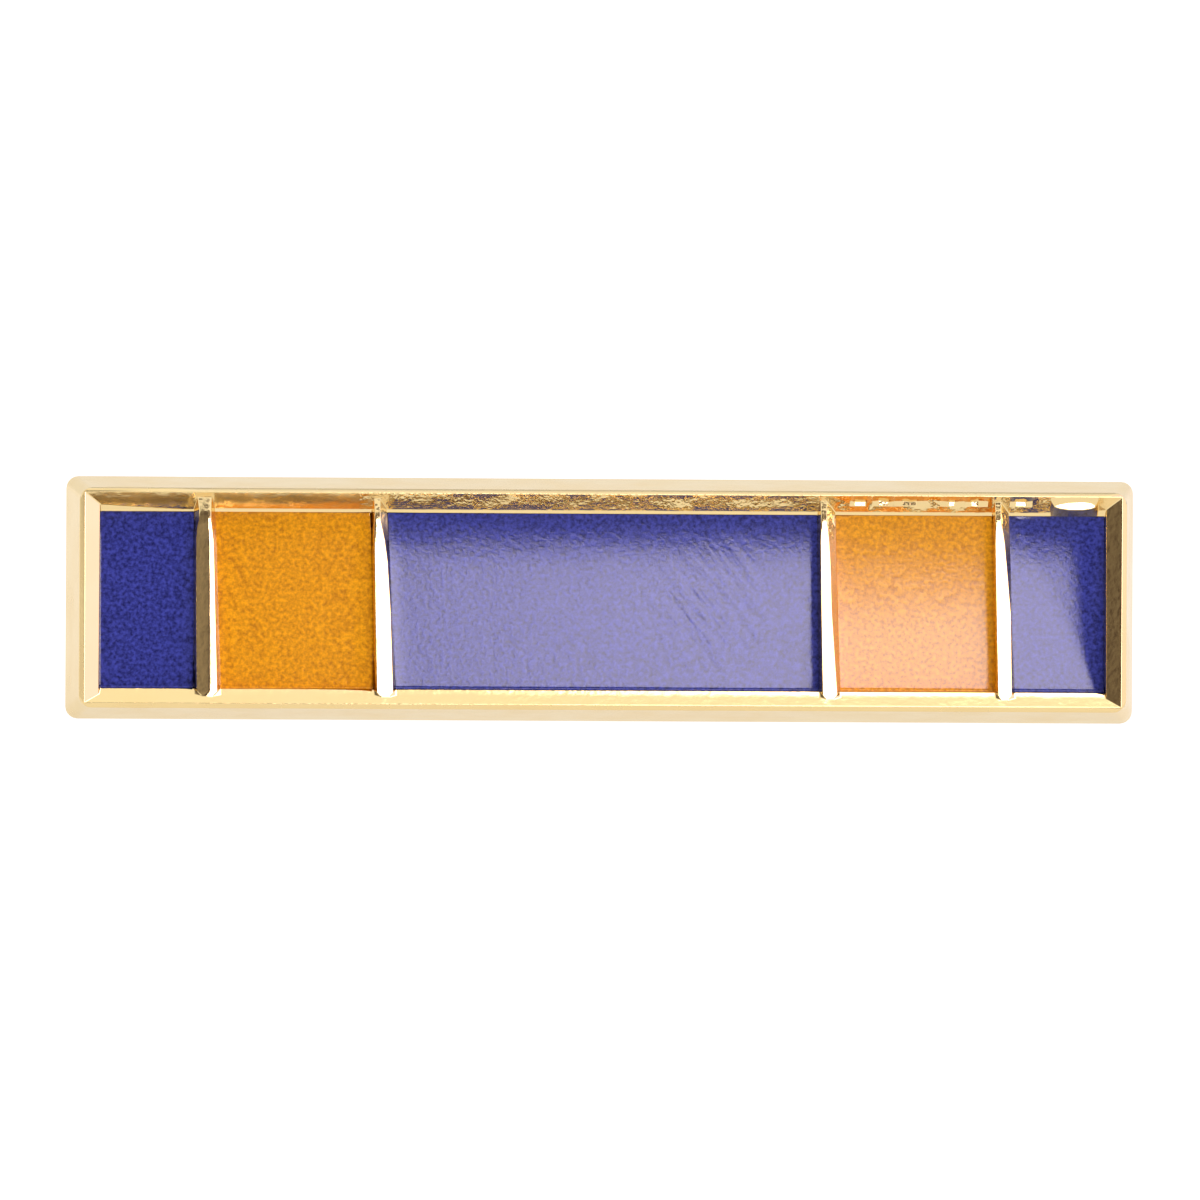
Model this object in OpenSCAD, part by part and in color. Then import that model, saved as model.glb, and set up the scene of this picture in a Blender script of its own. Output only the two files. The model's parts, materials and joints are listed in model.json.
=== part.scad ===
// Medal lapel pin: a small gilt bar with five enamelled stripes, standing on its
// lower back edge and propped by the post on its back. All sizes are in millimetres.

/* [Bar] */
// Length of the bar along its back edges
bar_length = 17.5; // [15:0.1:22]
// Height of the bar along its back edges
bar_height = 3.97; // [3.6:0.01:5]
// Thickness from the flat back to the crest of the rim
bar_thickness = 1.2; // [1.1:0.05:1.6]
// How far each outer side leans in from the back to the crest
side_lean = 0.19; // [0.1:0.01:0.2]
// Radius of the four outer corners at the back
corner_radius = 0.25; // [0.22:0.01:0.4]

/* [Rim] */
// Width of the flat crest that runs round the rim
crest_width = 0.08; // [0.05:0.01:0.14]
// Depth of the bevel from the crest down to the edge of the enamel
bevel_depth = 0.25; // [0.15:0.01:0.35]
// Width of the bevel at the left and right ends
bevel_width_ends = 0.27; // [0.15:0.01:0.35]
// Width of the bevel along the upper side
bevel_width_upper = 0.31; // [0.15:0.01:0.35]
// Width of the bevel along the lower side
bevel_width_lower = 0.24; // [0.15:0.01:0.35]

/* [Stripes] */
// Width of the blue stripe at each end
end_stripe_width = 1.53; // [1.2:0.01:1.8]
// Width of each orange stripe
orange_stripe_width = 2.53; // [2:0.01:3]
// Width of the ridge between two stripes
ridge_width = 0.34; // [0.25:0.01:0.45]
// Height of a ridge's rounded top above the edge of the enamel
ridge_rise = 0.1; // [0.05:0.01:0.14]
// Depth of the enamel at its edges
enamel_depth = 0.42; // [0.3:0.01:0.5]
// How far the middle of the enamel lies below its edges
enamel_dip = 0.05; // [0.02:0.01:0.1]

/* [Post] */
// Length of the post from the back of the bar to its point
post_length = 8; // [7.5:0.1:10]
// Diameter of the post's plain shank
post_diameter = 1.1; // [1:0.05:1.3]
// Diameter of the flat pad that is soldered to the back
pad_diameter = 3; // [2.4:0.1:3.4]
// Thickness of the pad
pad_thickness = 0.3; // [0.2:0.05:0.5]
// Length of the pointed end
point_length = 1; // [0.8:0.1:1.4]

/* [Hidden] */
$fn = 64;

gilt = "#EBC98A";
blue = "#34398B";
orange = "#E5951C";

// Enamel stays this far from the metal round it.
fit_gap = 0.005;
// Every wall of a stripe's well opens this much from its floor to its mouth.
well_lean = 0.04;
// Solids that are cut away run this far past the face that they cut.
past = 0.5;

// Heights above the flat back, with the bar lying face up.
crest_z = bar_thickness;
ledge_z = crest_z - bevel_depth;
floor_z = ledge_z - enamel_depth;

// The field is the rectangle that the stripes fill, at the foot of the bevel.
inset = side_lean + crest_width;
field_length = bar_length - 2 * (inset + bevel_width_ends);
field_top = bar_height / 2 - inset - bevel_width_upper;
field_bottom = -bar_height / 2 + inset + bevel_width_lower;
field_middle = (field_top + field_bottom) / 2;
centre_stripe_width = field_length - 4 * ridge_width
    - 2 * (end_stripe_width + orange_stripe_width);

// Stripes from left to right.
STRIPE_WIDTH = 0;
STRIPE_COLOUR = 1;
stripes = [
    [end_stripe_width, blue],
    [orange_stripe_width, orange],
    [centre_stripe_width, blue],
    [orange_stripe_width, orange],
    [end_stripe_width, blue]];

// Left edge of stripe i: all stripes and ridges before it, from the field's left end.
function stripe_start(i) = i == 0
    ? -field_length / 2
    : stripe_start(i - 1) + stripes[i - 1][STRIPE_WIDTH] + ridge_width;

// Radius of the arc that rises by sag over a chord.
function arc_radius(chord, sag) = (pow(chord / 2, 2) + pow(sag, 2)) / (2 * sag);

// The post, measured back from the flat back of the bar. A cone of solder holds the
// shank to its pad, and a clutch grips the V-shaped groove near the point.
post_radius = post_diameter / 2;
solder_radius = 1;
solder_length = 0.35;
knob_length = 0.5;
groove_length = 0.6;
groove_depth = 0.12;
tip_radius = 0.12;
shank_end = post_length - point_length;
groove_end = shank_end - knob_length;
groove_start = groove_end - groove_length;
groove_middle = (groove_start + groove_end) / 2;

// The bar leans back until the end of the shank or the point meets the floor.
lean = min(
    atan((bar_height / 2 - post_radius) / shank_end),
    atan((bar_height / 2 - tip_radius) / post_length));
// The frontmost and rearmost points of the leaning pin, before it is centred.
front_y = -(bar_height / 2 - side_lean) * sin(lean) - crest_z * cos(lean);
rear_y = tip_radius * sin(lean) + post_length * cos(lean);

// Turns a pin that lies face up into one that stands on the floor, face forward.
module stand() {
    translate([0, -(front_y + rear_y) / 2, bar_height / 2 * cos(lean)])
        rotate([90 - lean, 0, 0])
            children();
}

// A block between two heights, whose four sides lean, from outlines [low, high] in
// X and in Y at its foot and at its head.
module leaning_block(foot_z, head_z, foot_x, head_x, foot_y, head_y) {
    reach = bar_length;
    intersection() {
        rotate([90, 0, 0])
            linear_extrude(reach, center = true)
                polygon([[foot_x[0], foot_z], [foot_x[1], foot_z],
                    [head_x[1], head_z], [head_x[0], head_z]]);
        rotate([90, 0, 90])
            linear_extrude(2 * reach, center = true)
                polygon([[foot_y[0], foot_z], [foot_y[1], foot_z],
                    [head_y[1], head_z], [head_y[0], head_z]]);
    }
}

// The struck blank: leaning sides, with the four corners rounded as cones.
module blank() {
    half_x = bar_length / 2;
    half_y = bar_height / 2;
    intersection() {
        leaning_block(0, crest_z,
            [-half_x, half_x], [side_lean - half_x, half_x - side_lean],
            [-half_y, half_y], [side_lean - half_y, half_y - side_lean]);
        linear_extrude(crest_z)
            union() {
                square([bar_length - 2 * corner_radius, bar_height], center = true);
                square([bar_length, bar_height - 2 * corner_radius], center = true);
            }
    }
    for (x = [-1, 1], y = [-1, 1])
        translate([x * (half_x - corner_radius), y * (half_y - corner_radius), 0])
            cylinder(h = crest_z, r1 = corner_radius, r2 = corner_radius - side_lean);
}

// What the die leaves open inside the rim: the bevelled mouth and the well below it.
module recess() {
    half = field_length / 2;
    // The bevel's planes are carried on above the crest.
    over = 1 + past / bevel_depth;
    leaning_block(ledge_z, crest_z + past,
        [-half, half],
        [-half - over * bevel_width_ends, half + over * bevel_width_ends],
        [field_bottom, field_top],
        [field_bottom - over * bevel_width_lower, field_top + over * bevel_width_upper]);
    leaning_block(floor_z, ledge_z,
        [well_lean - half, half - well_lean], [-half, half],
        [field_bottom + well_lean, field_top - well_lean], [field_bottom, field_top]);
}

// The ridge between two stripes: a leaning wall with a rounded top, run into the rim.
module ridge() {
    // How far the ridge runs into the metal at its ends and below its foot.
    into_rim = 0.15;
    into_floor = 0.05;
    radius = arc_radius(ridge_width, ridge_rise);
    foot = ridge_width / 2 + well_lean;
    translate([0, field_middle, 0])
        rotate([90, 0, 0])
            linear_extrude(field_top - field_bottom + 2 * into_rim, center = true)
                union() {
                    polygon([[-foot, floor_z - into_floor], [foot, floor_z - into_floor],
                        [foot, floor_z], [ridge_width / 2, ledge_z],
                        [-ridge_width / 2, ledge_z], [-foot, floor_z]]);
                    intersection() {
                        translate([0, ledge_z + ridge_rise - radius])
                            circle(radius);
                        translate([-ridge_width, ledge_z])
                            square([2 * ridge_width, ridge_rise]);
                    }
                }
}

// The post behind the bar: pad, solder, shank, groove and point, from the back on.
module post() {
    // Its seam faces down, so that the shank meets the floor at one clean point.
    seam_turn = -90;
    mirror([0, 0, 1])
        rotate([0, 0, seam_turn]) {
            cylinder(h = pad_thickness, d = pad_diameter);
            translate([0, 0, pad_thickness])
                cylinder(h = solder_length, r1 = solder_radius, r2 = post_radius);
            rotate_extrude()
                polygon([[0, 0], [post_radius, 0],
                    [post_radius, groove_start],
                    [post_radius - groove_depth, groove_middle],
                    [post_radius, groove_end],
                    [post_radius, shank_end],
                    [tip_radius, post_length],
                    [0, post_length]]);
        }
}

// The metal: one solid, struck with its rim and ridges and soldered to its post.
module gilt_bar() {
    color(gilt) stand() {
        difference() {
            blank();
            recess();
        }
        for (i = [0 : len(stripes) - 2])
            translate([stripe_start(i) + stripes[i][STRIPE_WIDTH] + ridge_width / 2, 0, 0])
                ridge();
        post();
    }
}

// The enamel of stripe i: it fills its well, with a hollow along its face.
module enamel(i) {
    left = stripe_start(i);
    right = left + stripes[i][STRIPE_WIDTH];
    // The walls lean, so the same gap is kept at the foot and at the head.
    foot_inset = well_lean + fit_gap;
    // The hollow is a shallow slice of a wide cylinder, which needs many sides.
    dish_radius = arc_radius(field_top - field_bottom, enamel_dip);
    dish_sides = 900;
    color(stripes[i][STRIPE_COLOUR]) stand()
        difference() {
            leaning_block(floor_z + fit_gap, ledge_z,
                [left + foot_inset, right - foot_inset],
                [left + fit_gap, right - fit_gap],
                [field_bottom + foot_inset, field_top - foot_inset],
                [field_bottom + fit_gap, field_top - fit_gap]);
            translate([0, field_middle, ledge_z - enamel_dip + dish_radius])
                rotate([0, 90, 0])
                    cylinder(h = 2 * bar_length, r = dish_radius, center = true,
                        $fn = dish_sides);
        }
}

gilt_bar();
enamel(0);  // blue_stripe_left
enamel(1);  // orange_stripe_left
enamel(2);  // blue_stripe_centre
enamel(3);  // orange_stripe_right
enamel(4);  // blue_stripe_right
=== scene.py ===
import json
import math

import bmesh
import bpy
from mathutils import Euler, Matrix, Vector


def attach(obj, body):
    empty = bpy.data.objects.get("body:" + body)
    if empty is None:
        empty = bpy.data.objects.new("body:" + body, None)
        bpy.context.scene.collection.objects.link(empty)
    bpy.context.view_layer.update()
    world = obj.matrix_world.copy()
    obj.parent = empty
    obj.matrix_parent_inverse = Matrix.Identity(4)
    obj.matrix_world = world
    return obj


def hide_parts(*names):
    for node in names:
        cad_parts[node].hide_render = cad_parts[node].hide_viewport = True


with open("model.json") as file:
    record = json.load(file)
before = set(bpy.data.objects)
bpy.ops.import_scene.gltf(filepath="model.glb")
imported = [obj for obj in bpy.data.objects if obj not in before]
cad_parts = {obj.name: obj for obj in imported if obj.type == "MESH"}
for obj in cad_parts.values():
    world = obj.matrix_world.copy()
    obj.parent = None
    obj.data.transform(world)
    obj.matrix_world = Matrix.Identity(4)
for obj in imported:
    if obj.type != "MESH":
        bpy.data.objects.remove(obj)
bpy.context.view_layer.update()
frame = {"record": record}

# The pin is modelled lying face up, in millimetres, with X along the bar and Y up its face.
# Each piece is then shrunk to metres and stood up as the pin rests: on its lower back edge,
# propped by the post behind it. The mount on its back says where the back stands and faces.
backFace = next(mount for mount in frame["record"]["mounts"] if mount["name"] == "back_face")
standPlace = Vector((0, backFace["pos_m"][1], backFace["pos_m"][2]))
lean = math.atan2(-backFace["axis"][2], backFace["axis"][1])
standTurn = (math.radians(90) - lean, 0, 0)


def startPiece(name):
    # takes the primitive that was just added as the start of a new piece
    piece = bpy.context.object
    piece.name = name
    piece.data.name = name
    bpy.ops.object.transform_apply(location=True, rotation=True, scale=True)
    bpy.ops.object.mode_set(mode="EDIT")
    return piece


def near(a, b):
    return abs(a - b) < 0.002  # mm


def pick(kind, test):
    # selects the vertices, edges or faces whose place (and normal) pass the test
    bpy.ops.mesh.select_mode(type=kind)
    bpy.ops.mesh.select_all(action="DESELECT")
    mesh = bmesh.from_edit_mesh(bpy.context.edit_object.data)
    if kind == "VERT":
        found = [vert for vert in mesh.verts if test(vert.co)]
    elif kind == "EDGE":
        found = [edge for edge in mesh.edges if test(edge.verts[0].co, edge.verts[1].co)]
    else:
        found = [face for face in mesh.faces if test(face.calc_center_median(), face.normal)]
    for item in found:
        item.select_set(True)
    mesh.select_flush_mode()
    bmesh.update_edit_mesh(bpy.context.edit_object.data)


def move(x, y, z):
    bpy.ops.transform.translate(value=(x, y, z))


def cutFaces(test, place, normal):
    # cuts the faces that pass the test where a plane crosses them
    pick("FACE", test)
    bpy.ops.mesh.bisect(plane_co=place, plane_no=normal, use_fill=False, threshold=0.0005)


def cutLine(test, xTop, xBottom, yTop, yBottom):
    # cuts them along a line on the face, from (xTop, yTop) to (xBottom, yBottom)
    along = Vector((xTop - xBottom, yTop - yBottom, 0)).normalized()
    cutFaces(test, (xTop, yTop, 0), (along.y, -along.x, 0))


def useModifier(piece, kind, **settings):
    # adds a modifier and applies it
    if bpy.context.mode != "OBJECT":
        bpy.ops.object.mode_set(mode="OBJECT")
    modifier = piece.modifiers.new(kind.title(), kind)
    for key, value in settings.items():
        setattr(modifier, key, value)
    bpy.context.view_layer.objects.active = piece
    bpy.ops.object.modifier_apply(modifier=modifier.name)


def smoothPiece(piece, angle):
    # smooth shading, but for the edges that turn by more than the angle
    bpy.ops.object.select_all(action="DESELECT")
    piece.select_set(True)
    bpy.ops.object.shade_smooth_by_angle(angle=math.radians(angle))


def finishPiece(piece, replaced):
    # shrinks the piece to metres, stands it up and hands it to the frame
    if bpy.context.mode != "OBJECT":
        bpy.ops.object.mode_set(mode="OBJECT")
    bpy.ops.object.select_all(action="DESELECT")
    piece.select_set(True)
    bpy.context.view_layer.objects.active = piece
    piece.scale = (0.001, 0.001, 0.001)
    piece.rotation_euler = Euler(standTurn)
    piece.location = standPlace
    bpy.ops.object.transform_apply(location=True, rotation=True, scale=True)
    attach(piece, "root")
    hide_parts(replaced)
    return piece


def colour(hexCode):
    # an sRGB hex colour, turned linear
    parts = [int(hexCode[i:i + 2], 16) / 255 for i in (1, 3, 5)]
    return tuple(c / 12.92 if c <= 0.04045 else ((c + 0.055) / 1.055) ** 2.4 for c in parts) + (1,)


def addNode(tree, kind, settings=None, links=None, ramp=None):
    # adds a node: settings go to its properties or its inputs, links to its inputs, and a ramp
    # to its stops; inputs are given by name or by number
    node = tree.nodes.new(kind)
    for key, value in (settings or {}).items():
        if isinstance(key, str) and hasattr(node, key):
            setattr(node, key, value)
        else:
            node.inputs[key].default_value = value
    for key, output in (links or {}).items():
        tree.links.new(output, node.inputs[key])
    if ramp:
        stops = node.color_ramp.elements
        while len(stops) < len(ramp):
            stops.new(1)
        for stop, (place, value) in zip(stops, ramp):
            stop.position = place
            stop.color = value
    return node


def newMaterial(name):
    material = bpy.data.materials.new(name)
    material.use_nodes = True
    material.node_tree.nodes.clear()
    return material, material.node_tree


def pinAxes(tree, stretch=(1, 1, 1)):
    # coordinates along the pin's own axes, so that a pattern lies square on its face
    place = addNode(tree, "ShaderNodeTexCoord").outputs["Object"]
    return addNode(tree, "ShaderNodeMapping", {
        "vector_type": "TEXTURE", "Location": standPlace, "Rotation": standTurn, "Scale": stretch},
        {"Vector": place}).outputs[0]


gilding = {
    "gold": "#F8DDA2",
    "goldDeep": "#F3D596",
    "cloud": 0.9,             # mm, slow change of its tone and gloss
    "glossRange": (0.8, 1.25),
    "grain": 0.035,           # mm, fine grain of the plated face
    "grainDepth": 0.0003,
    "dimple": 0.13,           # mm between the dimples that the die's cut left
}

# Each part of the strike has its own polish: how rough it is, and how deep its dimples are in mm.
giltFinishes = {
    "giltBrassSides": {"roughness": 0.22, "dimpleDepth": 0.0008},
    "giltBrassCrest": {"roughness": 0.26, "dimpleDepth": 0.0008},
    "giltBrassBevel": {"roughness": 0.08, "dimpleDepth": 0.0014, "grainDepth": 0.00012},
    "giltBrassRidges": {"roughness": 0.08, "dimpleDepth": 0.001},
    "giltBrassBack": {"roughness": 0.28, "dimpleDepth": 0.006},
    # the sides of the ridges, which the polish does not reach
    "giltBrassFlanks": {"roughness": 0.14, "dimpleDepth": 0.012},
    # the upper bevel, which keeps the finer marks of a cut made by hand
    "giltBrassCutBevel": {"roughness": 0.08, "dimpleDepth": 0.0035, "dimple": 0.075},
    # drawn wire, with its marks along it
    "giltBrassPost": {"roughness": 0.2, "dimpleDepth": 0.001, "stretch": (1, 1, 3)},
}


def giltMetal(name, finish):
    # Gilt brass: struck in a die, then polished and plated with a thin hard gold. The eye gets
    # a warm pale mirror that wavers where the die left its cut, under a fine bright grain.
    material, tree = newMaterial(name)
    place = pinAxes(tree, finish.get("stretch", (1, 1, 1)))
    dimple = addNode(tree, "ShaderNodeTexNoise", {
        "Scale": 1000 / finish.get("dimple", gilding["dimple"]), "Detail": 1.5, "Roughness": 0.5},
        {"Vector": place}).outputs[0]
    grain = addNode(tree, "ShaderNodeTexNoise", {
        "Scale": 1000 / gilding["grain"], "Detail": 2, "Roughness": 0.6}, {"Vector": place}).outputs[0]
    cloud = addNode(tree, "ShaderNodeTexNoise", {
        "Scale": 1000 / gilding["cloud"], "Detail": 2, "Roughness": 0.55}, {"Vector": place}).outputs[0]
    tone = addNode(tree, "ShaderNodeMix", {
        "data_type": "RGBA", 6: colour(gilding["gold"]), 7: colour(gilding["goldDeep"])},
        {0: cloud}).outputs[2]
    glossLow, glossHigh = [finish["roughness"] * share for share in gilding["glossRange"]]
    gloss = addNode(tree, "ShaderNodeMapRange", {
        "From Min": 0.3, "From Max": 0.7, "To Min": glossLow, "To Max": glossHigh},
        {"Value": cloud}).outputs[0]
    dimpled = addNode(tree, "ShaderNodeBump", {
        "Strength": 1, "Distance": finish["dimpleDepth"] / 1000}, {"Height": dimple}).outputs[0]
    grained = addNode(tree, "ShaderNodeBump", {
        "Strength": 1, "Distance": finish.get("grainDepth", gilding["grainDepth"]) / 1000},
        {"Height": grain, "Normal": dimpled}).outputs[0]
    shader = addNode(tree, "ShaderNodeBsdfPrincipled", {"Metallic": 1}, {
        "Base Color": tone, "Roughness": gloss, "Normal": grained}).outputs[0]
    addNode(tree, "ShaderNodeOutputMaterial", links={"Surface": shader})
    return material


giltMaterials = {name: giltMetal(name, finish) for name, finish in giltFinishes.items()}
print("gilt materials made:", len(giltMaterials))


bar = {
    "length": 17.5,
    "height": 3.97,
    "thickness": 1.2,
    "sideLean": 0.19,         # the outer sides lean in by this much up to the crest
    "cornerOffset": 0.2,      # how far from each corner its rounding starts
    "crest": 0.08,            # width of the flat that runs round the rim
    "crestDrop": 0.12,        # the crest's outer edge is worn down this far
    "upperCrest": 0.01,       # its upper side stands this much further out
    "lowerCrest": -0.047,     # and its lower side this much lower
    # the bevel goes down from the crest in two steps; each gives half its length, its place on
    # the face and its height, along the lower and along the upper side
    "bevelSteps": [{"lower": (8.235, -1.575, 1.033), "upper": (8.225, 1.525, 0.995)},
                   {"lower": (8.21, -1.475, 0.954), "upper": (8.21, 1.405, 0.912)}],
    "upperFoot": (-0.07, -0.072),   # between its corners the upper bevel's first step lies this
                                    # much further in and down
    "wellFloor": 0.53,        # height of the floor under the enamel
    "wellLean": 0.04,
    "rounding": 0.013,        # every struck edge is this soft
    "ripple": 0.125,          # mm between the ripples of the upper bevel, on average
    "rippleSway": (0.35, 2.4),      # how much that varies, and how fast, in radians a ripple
    "rippleDepth": 0.006,
    "rippleStart": -4,        # left of this the upper bevel is smooth
    "glintRows": (1.56, 1.645),     # some of the ripples dip between these places on the face:
    "glintDips": {"x": (0.021, 0), "o": (0.086, 0.018)},    # a little, or to an uneven small flat
    "glintSway": 70,          # how fast the flats vary, in radians a mm
    "glintClear": (0.2, 0.25),      # mm from the middle of a ridge: no rows nearer, and no glints
    "glintStart": -2.4,       # each ripple to the right of this has its letter in "glints"
    "glints": "x--x-x--x-x----x-----x----x--x----x-xx-x-xx-x-xxx-x-oo-oo-ooo-x-oo-oo-x--oo---",
    # gilding that pooled on the upper bevel near its right corner, with a flat bright top like
    # a lens: its outline gives shares of its length and of the bevel's width there, and the
    # bevel is cut once more at the margin beyond each end
    "pool": {"left": 7.37, "right": 8.03, "middle": 1.57, "upper": 1.66, "height": 1.13, "margin": 0.06,
             "outline": [(0, 0.08), (0.12, 0.4), (0.35, 0.7), (0.7, 0.85), (0.9, 0.65), (1, 0.25)]},
}

# Each ridge is given at its upper and its lower end: its left edge, the left, the middle and
# the right line of its top, and its right edge. The struck ridges lean and spread towards the
# lower rim, and no two are alike. "fall" is how far the three lines of the top lie below
# ridgeTops, and "swell" how far the right line swells out at each row of ridgeTops, with the
# middle line half as far.
ridges = [
    {"top": (-6.69, -6.655, -6.47, -6.40, -6.345), "bottom": (-6.68, -6.645, -6.46, -6.29, -6.25),
     "fall": (0.01, 0.0, 0.014), "swell": (0.0, 0.0, 0.01, 0.01, 0.0)},
    {"top": (-3.795, -3.76, -3.71, -3.645, -3.53), "bottom": (-3.745, -3.71, -3.57, -3.42, -3.39),
     "fall": (0.0, 0.0, 0.005), "swell": (0.0, 0.01, 0.03, 0.05, 0.04)},
    {"top": (3.50, 3.535, 3.59, 3.655, 3.80), "bottom": (3.545, 3.58, 3.70, 3.84, 3.88),
     "fall": (0.0, 0.0, 0.005), "swell": (0.0, 0.0, 0.0, 0.0, -0.025)},
    {"top": (6.36, 6.395, 6.44, 6.51, 6.64), "bottom": (6.42, 6.455, 6.56, 6.70, 6.74),
     "fall": (0.0, 0.0, 0.005), "swell": (0.0, 0.01, 0.02, 0.03, 0.05)},
]
leftEdge, topLines, rightEdge = 0, (1, 2, 3), 4
middleLine = topLines[1]

stepHalf, stepBottom, stepLow = bar["bevelSteps"][0]["lower"]
stepTop, stepHigh = bar["bevelSteps"][0]["upper"][1:]
fieldHalf, fieldBottom, ledgeLow = bar["bevelSteps"][1]["lower"]
fieldTop, ledgeHigh = bar["bevelSteps"][1]["upper"][1:]

# along a ridge: place on the face, height, and how much of its full width its top has there
ridgeTops = [(1.27, 1.056, 0.75), (1.14, 1.058, 0.92), (0.95, 1.06, 1.0), (0.6, 1.06, 1.0),
             (-0.2, 1.061, 1.0)]
# and where it runs out on the bevel: place and height before, move outward, height, width
ridgeEnds = [(stepTop, stepHigh, 0.11, 1.096, 0.9), (fieldTop, ledgeHigh, 0.03, 1.076, 0.75),
             (fieldBottom, ledgeLow, -0.05, 1.062, 0.92), (stepBottom, stepLow, -0.03, 1.062, 0.45)]

rise = bar["thickness"]
innerX = bar["length"] / 2 - bar["sideLean"] - bar["crest"]
innerY = bar["height"] / 2 - bar["sideLean"] - bar["crest"]
rippleEnd = bar["pool"]["left"] - 0.1


def ledgeAt(y):
    # the height of the bevel's foot, which lies a little deeper along the upper side
    return ledgeLow + (ledgeHigh - ledgeLow) * (y - fieldBottom) / (fieldTop - fieldBottom)


def onLedge(at):
    return near(at.z, ledgeAt(at.y))


def isMiddle(at, normal):
    # the face that lies over the middle of the bar
    return abs(at.x) < 1 and abs(at.y) < 1 and normal.z > 0.9


def onUpperBevel(at, normal):
    return (at.y > fieldTop + 0.01 and abs(at.x) < stepHalf
            and ledgeHigh + 0.003 < at.z < rise - 0.003)


def lineAt(ridge, line, y):
    # where a line of a ridge lies at height y on the face
    share = (fieldTop - y) / (fieldTop - fieldBottom)
    return ridge["top"][line] * (1 - share) + ridge["bottom"][line] * share


def fromRidge(x):
    # how far a place along the upper bevel is from the nearest ridge
    return min(abs(x - ridge["top"][middleLine]) for ridge in ridges)


def fitFace(lower, upper):
    # lays the lower and the upper side of the selected face each at its own half length,
    # place on the face and height
    mesh = bmesh.from_edit_mesh(bpy.context.edit_object.data)
    corners = [vert.co.copy() for vert in mesh.verts if vert.select]
    for above, (half, edge, height) in ((False, lower), (True, upper)):
        side = [corner for corner in corners if (corner.y > 0) == above]
        pick("VERT", lambda at: any((at - corner).length < 0.001 for corner in side))
        bpy.ops.transform.resize(value=(half / abs(side[0].x), 1, 1), center_override=(0, 0, 0))
        move(0, edge - side[0].y, height - side[0].z)
    pick("FACE", isMiddle)


def strikeBlank():
    # leaning sides and rounded corners
    pick("FACE", isMiddle)
    bpy.ops.transform.resize(value=(
        1 - 2 * bar["sideLean"] / bar["length"], 1 - 2 * bar["sideLean"] / bar["height"], 1))
    pick("EDGE", lambda a, b: abs(a.z - b.z) > rise / 2)
    bpy.ops.mesh.bevel(offset=bar["cornerOffset"], segments=5, profile=0.5, affect="EDGES")

    # the crest, whose inner corners are sharp, then the bevel in steps down to its foot
    pick("FACE", isMiddle)
    bpy.ops.mesh.inset(thickness=bar["crest"], use_even_offset=True)
    for sideX in (-1, 1):
        for sideY in (-1, 1):
            pick("VERT", lambda at: at.z > rise - 0.01 and innerX - 0.5 < at.x * sideX < innerX + 0.01
                 and innerY - 0.5 < at.y * sideY < innerY + 0.01)
            bpy.ops.mesh.merge(type="CENTER")
    pick("FACE", isMiddle)
    fitFace((innerX, -innerY, rise), (innerX, innerY, rise))
    for step in bar["bevelSteps"]:
        bpy.ops.mesh.inset(thickness=0.02)  # of any width, as fitFace lays it in place
        fitFace(step["lower"], step["upper"])

    def onCrest(at):
        return at.z > rise - 0.001
    pick("VERT", lambda at: onCrest(at) and (abs(at.x) > innerX + 0.03 or abs(at.y) > innerY + 0.03))
    move(0, 0, -bar["crestDrop"])
    pick("VERT", lambda at: onCrest(at) and at.y > innerY - 0.01)
    move(0, bar["upperCrest"], 0)
    pick("VERT", lambda at: onCrest(at) and at.y < 0.01 - innerY)
    move(0, 0, bar["lowerCrest"])


def raiseRidges():
    # five cuts each, across the field and up the bevel at both ends
    def inRecess(at, normal):
        return abs(at.x) < stepHalf - 0.1 and ledgeHigh - 0.01 < at.z < rise - 0.01 and normal.z > 0.1

    def onRidge(at, normal):
        return onLedge(at) and any(
            lineAt(ridge, leftEdge, at.y) < at.x < lineAt(ridge, rightEdge, at.y) for ridge in ridges)

    for ridge in ridges:
        for xTop, xBottom in zip(ridge["top"], ridge["bottom"]):
            cutLine(inRecess, xTop, xBottom, fieldTop, fieldBottom)
    for y, height, width in ridgeTops:
        cutFaces(onRidge, (0, y, 0), (0, 1, 0))

    # then the three lines of each top are raised, row by row
    for ridge in ridges:
        for line, fall in zip(topLines, ridge["fall"]):
            def onLine(at, y):
                return near(at.x, lineAt(ridge, line, at.y)) and near(at.y, y)

            def inward(y, width):
                return (lineAt(ridge, middleLine, y) - lineAt(ridge, line, y)) * (1 - width)

            for y, height, outward, top, width in ridgeEnds:
                pick("VERT", lambda at: onLine(at, y) and near(at.z, height))
                move(inward(y, width), outward, top - fall - height)
            for (y, top, width), swell in zip(ridgeTops, ridge["swell"]):
                pick("VERT", lambda at: onLine(at, y) and onLedge(at))
                move(swell * (line - 1) / 2 + inward(y, width), 0, top - fall - ledgeAt(y))


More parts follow.
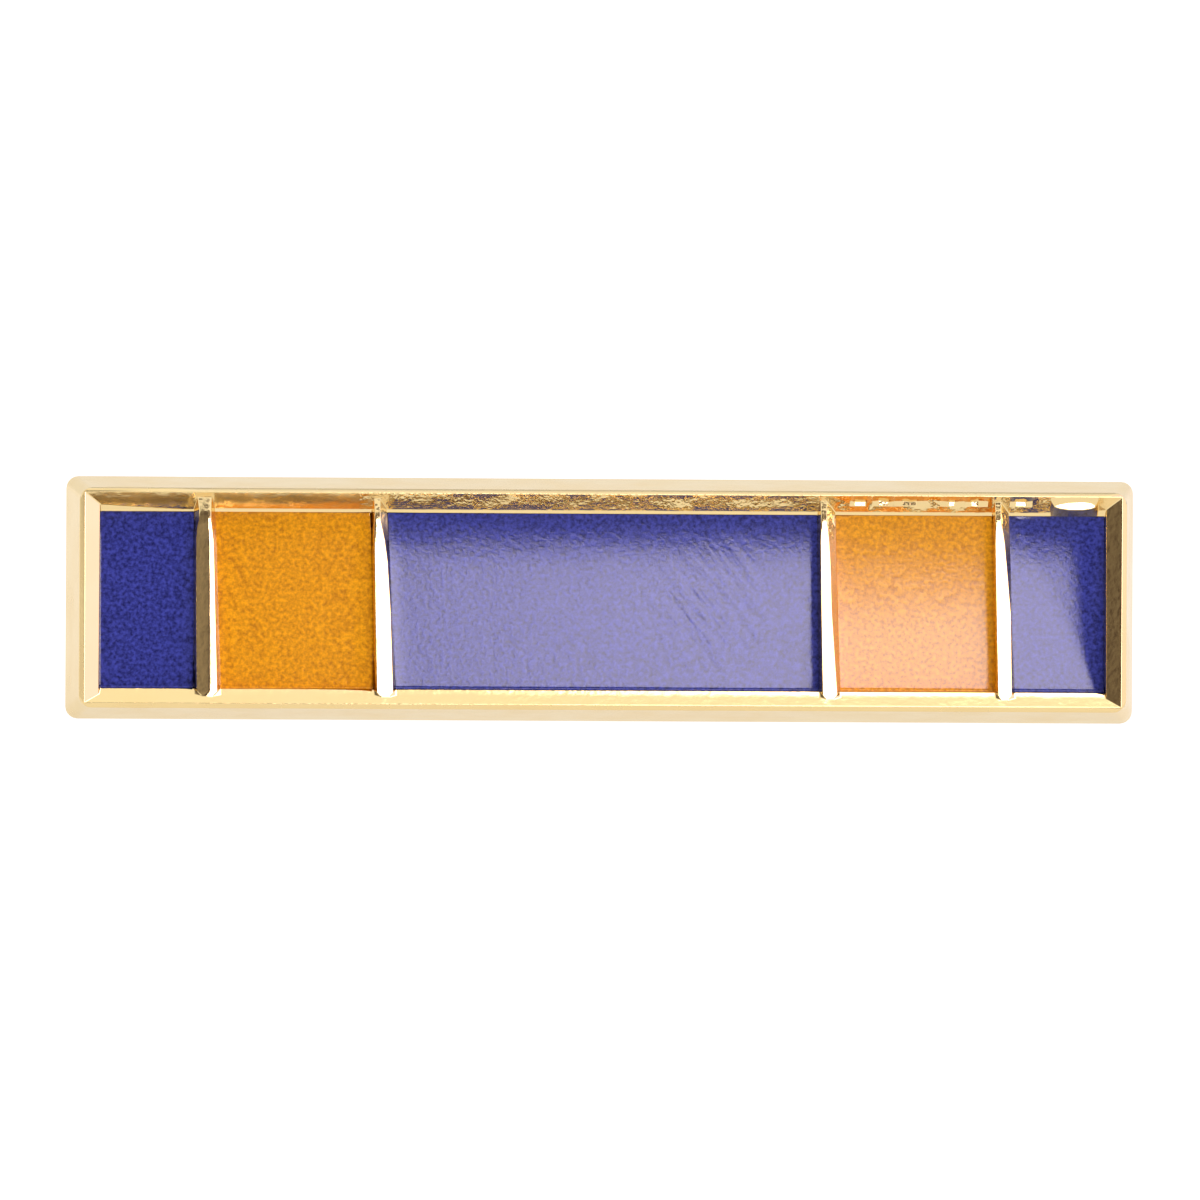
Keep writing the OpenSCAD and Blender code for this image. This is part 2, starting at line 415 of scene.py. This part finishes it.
def cutUpperBevel():
    # it is steeper between its corners, and rippled where the die was cut by hand
    ripples = []
    place = bar["rippleStart"]
    sway, turn = bar["rippleSway"]
    while place < rippleEnd:
        ripples.append(place)
        place += bar["ripple"] * (1 + sway * math.sin(turn * len(ripples)))

    def meetsRidge(x):
        return any(ridge["top"][leftEdge] - 0.04 < x < ridge["top"][rightEdge] + 0.04 for ridge in ridges)
    for place in ripples:
        if not meetsRidge(place):
            cutFaces(onUpperBevel, (place, 0, 0), (1, 0, 0))
    pick("VERT", lambda at: abs(at.x) < fieldHalf - 0.05 and near(at.y, stepTop) and near(at.z, stepHigh))
    move(0, *bar["upperFoot"])

    rowClear, glintClear = bar["glintClear"]

    def isRippled(at, normal):
        return (onUpperBevel(at, normal) and bar["rippleStart"] < at.x < rippleEnd
                and fromRidge(at.x) > rowClear)
    for y in bar["glintRows"]:
        cutFaces(isRippled, (0, y, 0), (0, 1, 0))
    pick("VERT", lambda at: bar["rippleStart"] < at.x < fieldHalf - 0.1
         and fieldTop + 0.03 < at.y < innerY - 0.045 and 0.9 < at.z < rise - 0.05)
    bpy.ops.transform.vertex_random(offset=bar["rippleDepth"], uniform=0.0, normal=1.0, seed=4)

    # some ripples dip, and catch the light from above
    glintHigh = bar["glintRows"][1]
    glintPlaces = [place for place in ripples if place > bar["glintStart"]]
    for place, glint in zip(glintPlaces, bar["glints"]):
        if glint in bar["glintDips"] and fromRidge(place) > glintClear:
            dip, sway = bar["glintDips"][glint]
            pick("VERT", lambda at: near(at.x, place) and abs(at.y - glintHigh) < 0.02 and at.z > 0.95)
            move(0, sway * math.sin(bar["glintSway"] * place), -dip)


def poolGilding():
    pool = bar["pool"]
    left, right, upper, height = pool["left"], pool["right"], pool["upper"], pool["height"]
    places = [left + (right - left) * share for share, tall in pool["outline"]]

    def isNear(at, normal):
        return left - 0.4 < at.x < fieldHalf and at.y > fieldTop + 0.01 and 0.9 < at.z < rise - 0.003
    for place in (left - pool["margin"], *places, right + pool["margin"]):
        cutFaces(isNear, (place, 0, 0), (1, 0, 0))
    cutFaces(isNear, (0, upper, 0), (0, 1, 0))
    pick("VERT", lambda at: left - 0.001 < at.x < right + 0.001
         and fieldTop + 0.02 < at.y < upper + 0.001 and at.z > 0.9)
    bpy.ops.transform.resize(value=(1, 1, 0), center_override=(0, 0, height))
    for place, (share, tall) in zip(places, pool["outline"]):
        pick("VERT", lambda at: near(at.x, place) and near(at.z, height))
        bpy.ops.transform.resize(value=(1, tall, 1), center_override=(place, pool["middle"], height))


def sinkWells():
    # the wells that the enamel fills, each narrower at its floor
    for number in range(len(ridges) + 1):
        def inWell(at, normal):
            left = lineAt(ridges[number - 1], rightEdge, at.y) if number > 0 else -fieldHalf
            right = lineAt(ridges[number], leftEdge, at.y) if number < len(ridges) else fieldHalf
            return onLedge(at) and left < at.x < right and normal.z > 0.9
        pick("FACE", inWell)
        depth = ledgeLow - bar["wellFloor"]
        bpy.ops.mesh.extrude_region_move(TRANSFORM_OT_translate={"value": (0, 0, -depth)})
        mesh = bmesh.from_edit_mesh(bpy.context.edit_object.data)
        along = [vert.co.x for vert in mesh.verts if vert.select]
        wide, tall = max(along) - min(along), fieldTop - fieldBottom
        bpy.ops.transform.resize(value=(1 - 2 * bar["wellLean"] / wide, 1 - 2 * bar["wellLean"] / tall, 1))


def barFinishAt(at, normal):
    # the finish of each part of the strike
    if at.z < 0.01:
        return "giltBrassBack"
    if abs(at.x) > innerX + 0.03 or abs(at.y) > innerY + 0.03:
        return "giltBrassCrest" if at.z > rise - 0.09 else "giltBrassSides"
    if abs(at.x) < fieldHalf + 0.01 and fieldBottom - 0.02 < at.y < fieldTop + 0.02:
        return "giltBrassRidges" if normal.z > 0.9 else "giltBrassFlanks"
    if at.y > 0 and bar["rippleStart"] < at.x < rippleEnd:
        return "giltBrassCutBevel"
    return "giltBrassBevel"


def buildBar():
    bpy.ops.object.select_all(action="DESELECT")
    bpy.ops.mesh.primitive_cube_add(
        size=1, location=(0, 0, rise / 2), scale=(bar["length"], bar["height"], rise))
    piece = startPiece("giltBar")
    strikeBlank()
    raiseRidges()
    cutUpperBevel()
    poolGilding()
    # the lower bevel has two facets with a clean fold between them
    pick("EDGE", lambda a, b: all(near(at.y, stepBottom) and near(at.z, stepLow) for at in (a, b)))
    bpy.ops.mesh.mark_sharp()
    sinkWells()
    useModifier(piece, "BEVEL", width=bar["rounding"], segments=3, limit_method="ANGLE",
                angle_limit=math.radians(22), miter_outer="MITER_SHARP", use_clamp_overlap=False)

    barFinishes = [name for name in giltFinishes if name != "giltBrassPost"]
    for name in barFinishes:
        piece.data.materials.append(giltMaterials[name])
    for face in piece.data.polygons:
        face.material_index = barFinishes.index(barFinishAt(face.center, face.normal))
    smoothPiece(piece, 50)
    # the flats stay flat between their rounded edges
    useModifier(piece, "WEIGHTED_NORMAL", weight=90, keep_sharp=True)
    return finishPiece(piece, "gilt_bar")


giltBar = buildBar()
print("bar modelled:", len(giltBar.data.polygons), "faces")


post = {
    "sides": 48,
    "rounding": 0.02,
    # from the back of the bar out to the point: distance from the back, and radius
    "steps": [(-0.02, 1.47), (0.06, 1.5), (0.22, 1.5), (0.29, 1.44),                # pad
              (0.3, 1.1), (0.33, 0.88), (0.4, 0.7), (0.52, 0.59), (0.68, 0.55),     # solder
              (5.88, 0.55), (5.94, 0.525), (6.14, 0.44), (6.26, 0.44),              # groove
              (6.46, 0.525), (6.52, 0.55), (6.96, 0.55),
              (7.04, 0.53), (7.9, 0.145), (7.97, 0.1), (8.0, 0.05)],                # point
}


def buildPost():
    bpy.ops.object.select_all(action="DESELECT")
    away, radius = post["steps"][0]
    bpy.ops.mesh.primitive_circle_add(
        vertices=post["sides"], radius=radius, fill_type="NGON", location=(0, 0, -away))
    piece = startPiece("giltPost")
    for nextAway, nextRadius in post["steps"][1:]:
        bpy.ops.mesh.extrude_region_move(TRANSFORM_OT_translate={"value": (0, 0, away - nextAway)})
        bpy.ops.transform.resize(value=(nextRadius / radius, nextRadius / radius, 1))
        away, radius = nextAway, nextRadius
    bpy.ops.mesh.select_all(action="SELECT")
    bpy.ops.mesh.normals_make_consistent(inside=False)
    useModifier(piece, "BEVEL", width=post["rounding"], segments=2, limit_method="ANGLE",
                angle_limit=math.radians(28))
    piece.data.materials.append(giltMaterials["giltBrassPost"])
    smoothPiece(piece, 50)
    return finishPiece(piece, "gilt_bar")


giltPost = buildPost()
print("post modelled:", len(giltPost.data.polygons), "faces")


enamel = {
    "gloss": 0.12,            # roughness
    "peel": 0.16,             # mm between the waves of the orange peel
    "peelDepth": 0.0006,
    "grain": 0.06,            # mm, drawn coarser than the real pigment so that it shows
    "grainDepth": 0.0009,
    "floor": 0.535,           # height of its foot
    "gap": 0.004,             # kept between the enamel and the wall of its well
    "lowerEdge": 0.012,       # how far its lower edge lies below the foot of the bevel
    "columns": 0.5,           # mm between the columns of its surface
    "uneven": 0.0006,
    # fine rubbing marks run down to the right, drawn wide enough to show
    "rubPlace": (1.8, -0.1, 0.84),
    "rubReach": (0.4, 1.5),   # mm from that place: fully rubbed, and not at all
    "rubTurn": -50,           # degrees
    "rubSize": (1, 0.13),     # mm along and across a mark
    "rubDepth": 0.004,
}

enamelFinishes = {
    "blue": {"name": "bakedEnamelBlue", "base": "#3A429E", "shade": "#101550",
             "slot": "blue_enamel", "rubbed": False},
    "blueRubbed": {"name": "bakedEnamelBlueRubbed", "base": "#3A429E", "shade": "#101550",
                   "slot": "blue_enamel", "rubbed": True},
    "orange": {"name": "bakedEnamelOrange", "base": "#EFA406", "shade": "#B67000",
               "slot": "orange_enamel", "rubbed": False},
}

# Each stripe's surface lies at "level" along its lower side, is turned by "aside" degrees to the
# left, and meets the metal at the height "edge" along its upper side, which it climbs by a short,
# a medium or a long curve. "left" and "right" say how it climbs its side walls: how many times as
# wide as climbSide at the upper and at the lower end, and how many times as high.
cells = {
    "blueStripeLeft": {
        "node": "blue_stripe_left", "finish": "blue", "level": 0.84, "edge": 0.88, "aside": 1.8,
        "upper": "short", "left": (1, 1, 0), "right": (1, 1, 1)},
    "orangeStripeLeft": {
        "node": "orange_stripe_left", "finish": "orange", "level": 0.84, "edge": 0.88, "aside": 1.7,
        "upper": "short", "left": (1, 1, 0), "right": (1, 1, 1)},
    "blueStripeCentre": {
        "node": "blue_stripe_centre", "finish": "blueRubbed", "level": 0.826, "edge": 0.9, "aside": -0.2,
        "upper": "medium", "left": (0.6, 0.6, 0.6), "right": (0.7, 0.7, 0.8)},
    "orangeStripeRight": {
        "node": "orange_stripe_right", "finish": "orange", "level": 0.771, "edge": 0.9, "aside": 0,
        "upper": "long", "left": (1, 0.7, 0.8), "right": (1, 0.7, 0.8)},
    "blueStripeRight": {
        "node": "blue_stripe_right", "finish": "blue", "level": 0.776, "edge": 0.85, "aside": 0,
        "upper": "medium", "left": (0.6, 0.6, 0.6), "right": (6, 0.5, 3.6)},
}

# How it climbs: distance in from the wall, and height above its level there. Along the lower
# wall the height is a share of the whole climb up to its lower edge.
climbUpper = {
    "short": [(0.0, 0.04), (0.05, 0.035), (0.15, 0.026), (0.3, 0.014), (0.42, 0.0065),
              (0.6, 0.0015), (0.8, 0.0)],
    "medium": [(0.0, 0.074), (0.12, 0.0635), (0.3, 0.0495), (0.5, 0.0362), (0.78, 0.0215),
               (1.15, 0.009), (1.7, 0.0)],
    "long": [(0.0, 0.129), (0.25, 0.108), (0.6, 0.081), (1.1, 0.049), (1.65, 0.021),
             (2.15, 0.0055), (2.6, 0.0)],
}
climbLower = [(0.09, 0.0), (0.045, 0.0), (0.02, 0.03), (0.01, 0.15), (0.004, 0.5), (0.0, 1.0)]
climbSide = [(0.0, 0.016), (0.03, 0.01), (0.08, 0.005), (0.14, 0.002), (0.24, 0.0)]


def bakedEnamel(finish):
    # Baked enamel: coloured resin poured into the well and cured in an oven. The eye gets a deep
    # flat colour under a wet gloss, faintly dimpled like orange peel.
    material, tree = newMaterial(finish["name"])
    place = pinAxes(tree)
    peel = addNode(tree, "ShaderNodeTexNoise", {
        "Scale": 1000 / enamel["peel"], "Detail": 1, "Roughness": 0.5}, {"Vector": place}).outputs[0]
    grain = addNode(tree, "ShaderNodeTexNoise", {
        "Scale": 1000 / enamel["grain"], "Detail": 2, "Roughness": 0.6}, {"Vector": place}).outputs[0]
    speck = addNode(tree, "ShaderNodeMapRange", {
        "From Min": 0.3, "From Max": 0.7}, {"Value": grain}).outputs[0]
    tone = addNode(tree, "ShaderNodeMix", {
        "data_type": "RGBA", 6: colour(finish["shade"]), 7: colour(finish["base"])}, {0: speck}).outputs[2]
    peeled = addNode(tree, "ShaderNodeBump", {
        "Strength": 1, "Distance": enamel["peelDepth"] / 1000}, {"Height": peel}).outputs[0]
    surface = addNode(tree, "ShaderNodeBump", {
        "Strength": 1, "Distance": enamel["grainDepth"] / 1000},
        {"Height": grain, "Normal": peeled}).outputs[0]
    if finish["rubbed"]:
        length, width = [size / 1000 for size in enamel["rubSize"]]
        marks = addNode(tree, "ShaderNodeMapping", {
            "vector_type": "TEXTURE", "Rotation": (0, 0, math.radians(enamel["rubTurn"])),
            "Scale": (length, width, length)}, {"Vector": place}).outputs[0]
        lines = addNode(tree, "ShaderNodeTexNoise", {
            "Scale": 1, "Detail": 2, "Roughness": 0.5}, {"Vector": marks}).outputs[0]
        away = addNode(tree, "ShaderNodeVectorMath", {
            "operation": "DISTANCE", 1: tuple(size / 1000 for size in enamel["rubPlace"])},
            {0: place}).outputs["Value"]
        rubbedTo, cleanFrom = [reach / 1000 for reach in enamel["rubReach"]]
        rubbed = addNode(tree, "ShaderNodeMapRange", {
            "interpolation_type": "SMOOTHSTEP", "From Min": cleanFrom, "From Max": rubbedTo},
            {"Value": away}).outputs[0]
        surface = addNode(tree, "ShaderNodeBump", {
            "Distance": enamel["rubDepth"] / 1000},
            {"Strength": rubbed, "Height": lines, "Normal": surface}).outputs[0]
    shader = addNode(tree, "ShaderNodeBsdfPrincipled", {
        "Roughness": enamel["gloss"], "IOR": 1.49}, {"Base Color": tone, "Normal": surface}).outputs[0]
    addNode(tree, "ShaderNodeOutputMaterial", links={"Surface": shader})
    return material


enamelMaterials = {name: bakedEnamel(finish) for name, finish in enamelFinishes.items()}
print("enamel materials made:", len(enamelMaterials))

enamelTop, enamelBottom = fieldTop - enamel["gap"], fieldBottom + enamel["gap"]


def wallAt(wall, y):
    # where a wall of a stripe stands at height y on the face
    return wall[0] + (wall[1] - wall[0]) * (enamelTop - y) / (enamelTop - enamelBottom)


def wallsOf(number):
    # the left and the right wall of a stripe, each at its upper and its lower end
    left, right = [-fieldHalf] * 2, [fieldHalf] * 2
    if number > 0:
        left = [ridges[number - 1][end][rightEdge] for end in ("top", "bottom")]
    if number < len(ridges):
        right = [ridges[number][end][leftEdge] for end in ("top", "bottom")]
    return [x + enamel["gap"] for x in left], [x - enamel["gap"] for x in right]


def placeRows(cell):
    # rows down the surface, closest where it climbs: place on the face, and how far it climbs
    rows = [(enamelTop - away, climb) for away, climb in climbUpper[cell["upper"]]]
    whole = ledgeLow - enamel["lowerEdge"] - cell["level"]
    return rows + [(enamelBottom + away, share * whole) for away, share in climbLower]


def placeColumns(cell, walls):
    # columns across the surface: place at the upper and the lower end, and how far it climbs
    columns = []
    for wall, side, inward in zip(walls, ("left", "right"), (1, -1)):
        widerTop, widerBottom, higher = cell[side]
        for away, climb in climbSide:
            ends = [wall[0] + inward * away * widerTop, wall[1] + inward * away * widerBottom]
            columns.append((ends, climb * higher))
    first, last = columns[len(climbSide) - 1][0], columns[-1][0]
    count = max(1, round((walls[1][0] - walls[0][0]) / enamel["columns"]) - 1)
    for number in range(count):
        share = (number + 1) / (count + 1)
        columns.append(([a + (b - a) * share for a, b in zip(first, last)], 0))
    return columns


def buildEnamel(name, number):
    cell = cells[name]
    level, high, low = cell["level"], cell["edge"], enamel["floor"]
    walls = wallsOf(number)
    left, right = walls[0][0], walls[1][0]
    wide, tall = right - left, enamelTop - enamelBottom

    bpy.ops.object.select_all(action="DESELECT")
    bpy.ops.mesh.primitive_cube_add(
        size=1, location=((left + right) / 2, (enamelBottom + enamelTop) / 2, (high + low) / 2),
        scale=(wide, tall, high - low))
    piece = startPiece(name)
    for wall in walls:
        pick("VERT", lambda at: near(at.x, wall[0]) and at.y < 0)
        move(wall[1] - wall[0], 0, 0)
    # the foot is narrower, as the well is
    pick("FACE", lambda at, normal: normal.z < -0.9)
    bpy.ops.transform.resize(value=(1 - 2 * bar["wellLean"] / wide, 1 - 2 * bar["wellLean"] / tall, 1))

    rows = placeRows(cell)
    columns = placeColumns(cell, walls)
    slope = (high - rows[0][1] - level) / tall

    def onTop(at):
        return at.z > low + 0.01

    def facesUp(at, normal):
        return normal.z > 0.9

    for y, climb in rows[1:-1]:
        cutFaces(facesUp, (0, y, 0), (0, 1, 0))
    for (xTop, xBottom), climb in columns:
        if xTop not in (left, right):
            cutLine(facesUp, xTop, xBottom, enamelTop, enamelBottom)
    for y, climb in rows:
        pick("VERT", lambda at: onTop(at) and near(at.y, y))
        move(0, 0, level + slope * (y - enamelBottom) + climb - high)
    for ends, climb in columns:
        if climb:
            pick("VERT", lambda at: onTop(at) and near(at.x, wallAt(ends, at.y)))
            move(0, 0, climb)
    if cell["aside"]:
        pick("VERT", onTop)
        bpy.ops.transform.rotate(value=math.radians(cell["aside"]), orient_axis="Y",
                                 center_override=((left + right) / 2, 0, level))

    # poured a little unevenly, with a sharp edge against the metal
    def isInside(at):
        return (onTop(at) and enamelBottom + 0.002 < at.y < enamelTop - 0.002
                and wallAt(walls[0], at.y) + 0.002 < at.x < wallAt(walls[1], at.y) - 0.002)

    def onEdge(at):
        return onTop(at) and not isInside(at)
    pick("VERT", isInside)
    bpy.ops.transform.vertex_random(offset=enamel["uneven"], uniform=0.0, normal=1.0, seed=number + 1)
    pick("EDGE", lambda a, b: onEdge(a) and onEdge(b))
    bpy.ops.transform.edge_crease(value=1)
    pick("EDGE", lambda a, b: min(a.z, b.z) < low + 0.001)
    bpy.ops.transform.edge_crease(value=1)
    useModifier(piece, "SUBSURF", levels=2, render_levels=2)

    piece.data.materials.append(enamelMaterials[cell["finish"]])
    smoothPiece(piece, 40)
    return finishPiece(piece, cell["node"])


for number, name in enumerate(cells):
    stripe = buildEnamel(name, number)
    print("enamel poured:", name, len(stripe.data.polygons), "faces")


studio = {
    "cameraTurn": 3.3,        # degrees to the left of straight on
    "cameraDistance": 325,    # mm
    "frameWidth": 19.576,     # mm across the picture at the bar
    "roll": 0.98,             # degrees
    "shiftRight": -0.068,     # mm by which the picture's middle lies to the right of the bar's
    "floorBack": 68,          # mm by which the floor's middle lies behind the pin's
    "floorSize": (300, 164),
    "tableGlow": 0.82,        # the table is lit from below, so that no shadow shows
    "boxTint": (1.0, 0.91, 1.04),
    # the large softbox in front, in mm to the right, up and out from the pin; a white sheet glows 1
    "boxAcross": (13, 260),
    "boxUp": (-42, 34),
    "boxAway": 400,
    "boxGlow": 8.1,
    # the softbox overhead, in mm to the right, to the back and up
    "overAcross": (24, 500),
    "overBack": (-399, 1),
    "overHigh": 420,
    "overGlow": 3.0,
    # the room's light grows between two places on each side's axis, up to its full glow
    "rightGlow": (0.3, 0.95, 1.35),
    "backGlow": (-0.02, 0.14, 0.9),
    "upGlow": (0.28, 0.8, 1.1),
    "rightTint": (1.0, 0.88, 1.2, 1),
    # the unlit room, from its darkest to its lightest, and how finely it is cluttered
    "dark": [(0.38, (0.07, 0.05, 0.045, 1)), (0.62, (0.36, 0.32, 0.28, 1))],
    "clutter": 9,
}

across = Vector((1, 0, 0))
upFace = Vector((0, math.sin(lean), math.cos(lean)))
outFace = Vector((0, -math.cos(lean), math.sin(lean)))
faceMiddle = standPlace + (outFace * bar["thickness"] + across * studio["shiftRight"]) / 1000

bpy.ops.object.select_all(action="DESELECT")
floorWide, floorDeep = studio["floorSize"]
bpy.ops.mesh.primitive_plane_add(
    size=1, location=(0, studio["floorBack"] / 1000, 0), scale=(floorWide / 1000, floorDeep / 1000, 1))
floor = bpy.context.object
floor.name = "floorCard"
bpy.ops.object.transform_apply(location=True, rotation=True, scale=True)
floorMaterial, floorTree = newMaterial("whiteCard")
# it looks plain white, and is a little dimmer in reflections
floorSeen = addNode(floorTree, "ShaderNodeLightPath").outputs["Is Camera Ray"]
floorGlow = addNode(floorTree, "ShaderNodeMapRange", {
    "To Min": studio["tableGlow"], "To Max": 1}, {"Value": floorSeen}).outputs[0]
floorShader = addNode(floorTree, "ShaderNodeBsdfPrincipled", {
    "Base Color": colour("#5A5A5A"), "Roughness": 0.9, "Emission Color": (1, 1, 1, 1)},
    {"Emission Strength": floorGlow}).outputs[0]
addNode(floorTree, "ShaderNodeOutputMaterial", links={"Surface": floorShader})
floor.data.materials.append(floorMaterial)


def addSoftbox(name, glow, middle, axes, wide, tall):
    # a rectangle that shines along minus its third axis; sizes in mm
    lamp = bpy.data.lights.new(name, "AREA")
    lamp.shape = "RECTANGLE"
    lamp.size, lamp.size_y = wide / 1000, tall / 1000
    lamp.energy = glow * math.pi * lamp.size * lamp.size_y
    lamp.color = studio["boxTint"]
    box = bpy.data.objects.new(name, lamp)
    bpy.context.scene.collection.objects.link(box)
    turn = Matrix([list(axis) for axis in axes]).transposed().to_4x4()
    box.matrix_world = Matrix.Translation(middle / 1000) @ turn
    box.visible_camera = False


(left, right), (low, high) = studio["boxAcross"], studio["boxUp"]
addSoftbox("largeSoftbox", studio["boxGlow"],
           across * (left + right) / 2 + upFace * (low + high) / 2 + outFace * studio["boxAway"],
           (across, upFace, outFace), right - left, high - low)
(left, right), (front, back) = studio["overAcross"], studio["overBack"]
addSoftbox("overheadSoftbox", studio["overGlow"],
           Vector(((left + right) / 2, (front + back) / 2, studio["overHigh"])),
           (across, Vector((0, 1, 0)), Vector((0, 0, 1))), right - left, back - front)

world = bpy.data.worlds.new("studio")
bpy.context.scene.world = world
world.use_nodes = True
worldTree = world.node_tree
worldTree.nodes.clear()
towards = addNode(worldTree, "ShaderNodeTexCoord").outputs["Generated"]


def worldGlow(axis, low, high, glow):
    # light that grows towards one side of the studio
    along = addNode(worldTree, "ShaderNodeVectorMath", {
        "operation": "DOT_PRODUCT", 1: tuple(axis)}, {0: towards}).outputs["Value"]
    return addNode(worldTree, "ShaderNodeMapRange", {
        "interpolation_type": "SMOOTHSTEP", "From Min": low, "From Max": high, "To Min": 0, "To Max": glow},
        {"Value": along}).outputs[0]


glowRight = worldGlow(across, *studio["rightGlow"])
glowBack = worldGlow(-outFace, *studio["backGlow"])
glowUp = worldGlow(upFace, *studio["upGlow"])
brightest = glowRight
for glow in (glowBack, glowUp):
    brightest = addNode(worldTree, "ShaderNodeMath", {
        "operation": "MAXIMUM"}, {0: brightest, 1: glow}).outputs[0]
clutter = addNode(worldTree, "ShaderNodeTexNoise", {
    "Scale": studio["clutter"], "Detail": 2}, {"Vector": towards}).outputs[0]
room = addNode(worldTree, "ShaderNodeValToRGB", {}, {0: clutter}, studio["dark"]).outputs[0]
bright = addNode(worldTree, "ShaderNodeMix", {
    "data_type": "RGBA", 6: (1, 1, 1, 1), 7: studio["rightTint"]}, {0: glowRight}).outputs[2]
lit = addNode(worldTree, "ShaderNodeMix", {
    "data_type": "RGBA"}, {0: brightest, 6: room, 7: bright}).outputs[2]
strength = addNode(worldTree, "ShaderNodeMath", {
    "operation": "MAXIMUM", 1: 1.0}, {0: brightest}).outputs[0]
around = addNode(worldTree, "ShaderNodeBackground", {}, {"Color": lit, "Strength": strength}).outputs[0]
plain = addNode(worldTree, "ShaderNodeBackground", {"Color": (1, 1, 1, 1), "Strength": 1}).outputs[0]
seen = addNode(worldTree, "ShaderNodeLightPath").outputs["Is Camera Ray"]
mixed = addNode(worldTree, "ShaderNodeMixShader", {}, {0: seen, 1: around, 2: plain}).outputs[0]
addNode(worldTree, "ShaderNodeOutputWorld", links={"Surface": mixed})

turn = math.radians(studio["cameraTurn"])
towardsCamera = outFace * math.cos(turn) - across * math.sin(turn)
cameraData = bpy.data.cameras.new("camera")
cameraData.sensor_width = 36
cameraData.lens = cameraData.sensor_width * studio["cameraDistance"] / studio["frameWidth"]
cameraData.clip_start, cameraData.clip_end = 0.005, 5
camera = bpy.data.objects.new("camera", cameraData)
bpy.context.scene.collection.objects.link(camera)
cameraPlace = faceMiddle + towardsCamera * studio["cameraDistance"] / 1000
looking = (-towardsCamera).to_track_quat("-Z", "Y").to_matrix()
rolled = looking @ Matrix.Rotation(math.radians(studio["roll"]), 3, "Z")
camera.matrix_world = Matrix.Translation(cameraPlace) @ rolled.to_4x4()
bpy.context.scene.camera = camera
bpy.context.scene.view_settings.view_transform = "Standard"
print("studio set")
